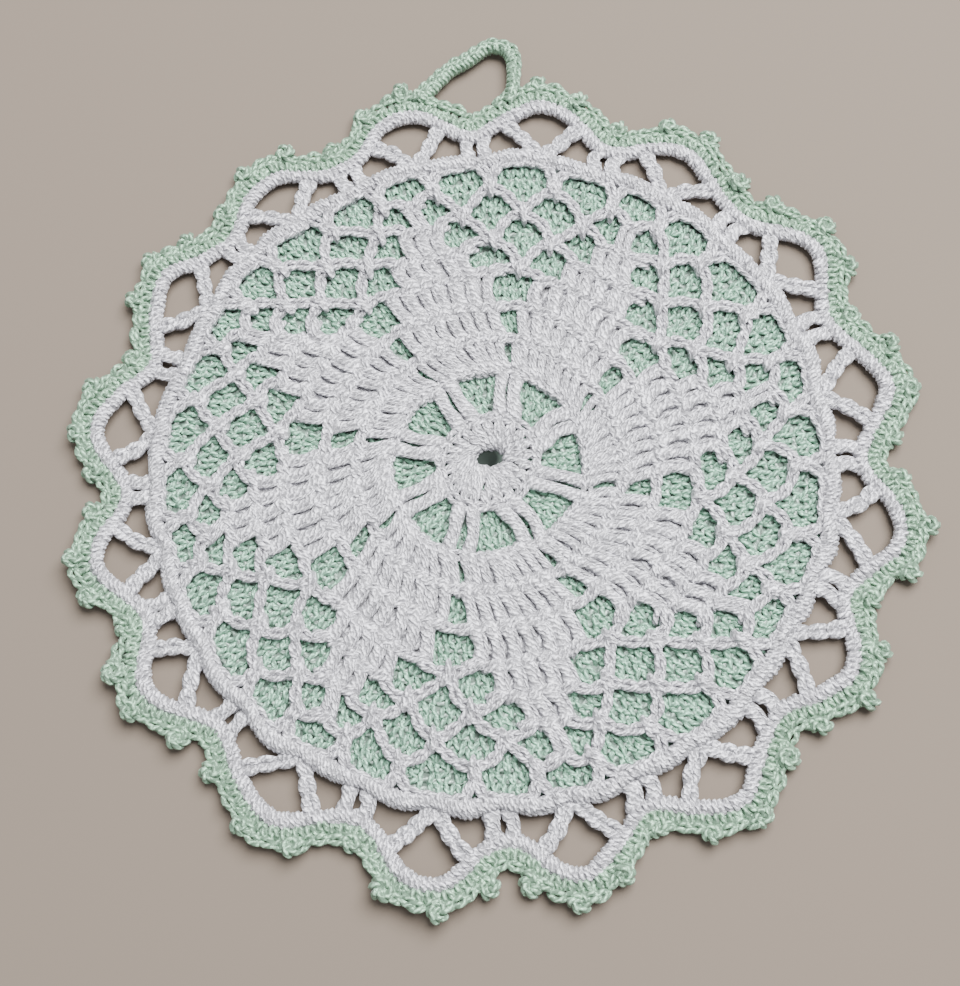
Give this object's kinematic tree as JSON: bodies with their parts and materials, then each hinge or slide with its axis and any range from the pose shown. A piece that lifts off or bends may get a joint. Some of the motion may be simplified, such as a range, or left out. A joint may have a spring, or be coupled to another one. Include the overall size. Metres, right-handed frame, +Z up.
{
  "type": "crochet hot pad",
  "caption": "Round crocheted hot pad: openwork petal-flower front on a solid round back, raised joining ring, open scalloped border, picot edging and hanging loop.",
  "frame": {"origin": "middle of the pad on its underside, the face that rests on the table", "axes": "+Z up out of the lace front, +Y towards the hanging loop, +X to the right seen from above"},
  "size_m": [0.1726, 0.1818, 0.0046],
  "materials": {
    "mint_yarn": "mint green plied cotton thread with a slight silky sheen",
    "white_yarn": "white plied cotton thread, matt with a slight sheen"
  },
  "bodies": {
    "root": {"back_disc": "mint_yarn", "front_lace": "white_yarn", "joining_ring": "white_yarn", "lace_border": "white_yarn", "edging": "mint_yarn", "hanging_loop": "mint_yarn"}
  },
  "joints": []
}
